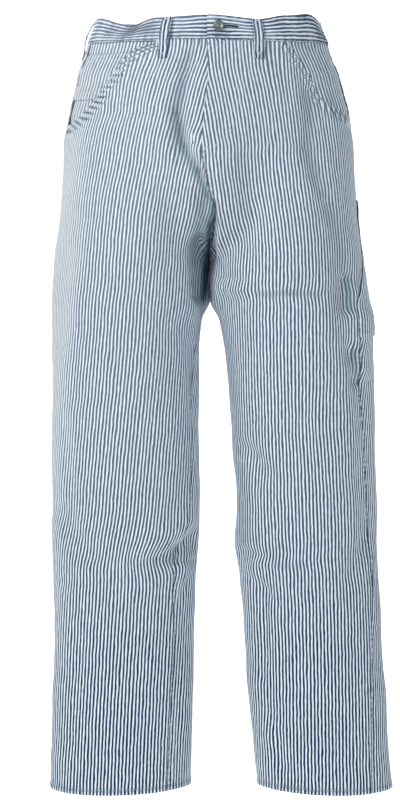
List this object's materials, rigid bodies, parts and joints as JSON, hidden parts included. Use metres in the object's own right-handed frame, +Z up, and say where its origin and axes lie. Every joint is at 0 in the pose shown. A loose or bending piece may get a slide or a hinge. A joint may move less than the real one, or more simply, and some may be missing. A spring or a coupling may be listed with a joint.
{
  "type": "work trousers",
  "caption": "Straight-leg striped cotton work trousers in worn form: open waist and hems, scoop pockets, coin and rule pockets, belt loops and a tack button.",
  "frame": {"origin": "centre of the waist opening, level with the waistband's top edge at its sides", "axes": "+Z up along the legs towards the waist, +Y from the front to the back, +X towards the wearer's left leg"},
  "size_m": [0.4554, 0.2667, 1.0193],
  "materials": {
    "stripe_cloth": "washed cotton twill, narrow indigo and white stripes",
    "band_cloth": "the same striped cotton twill, doubled",
    "button_metal": "stamped nickel-plated steel, worn"
  },
  "bodies": {
    "root": {"front_right": "stripe_cloth", "front_left": "stripe_cloth", "back_right": "stripe_cloth", "back_left": "stripe_cloth", "pocket_facing_right": "stripe_cloth", "pocket_facing_left": "stripe_cloth", "coin_pocket": "stripe_cloth", "rule_pocket": "stripe_cloth", "fly_underlap": "stripe_cloth", "waistband": "band_cloth", "belt_loop_front_right": "band_cloth", "belt_loop_front_left": "band_cloth", "belt_loop_side_right": "band_cloth", "belt_loop_side_left": "band_cloth", "belt_loop_back": "band_cloth", "waist_button": "button_metal"}
  },
  "joints": []
}
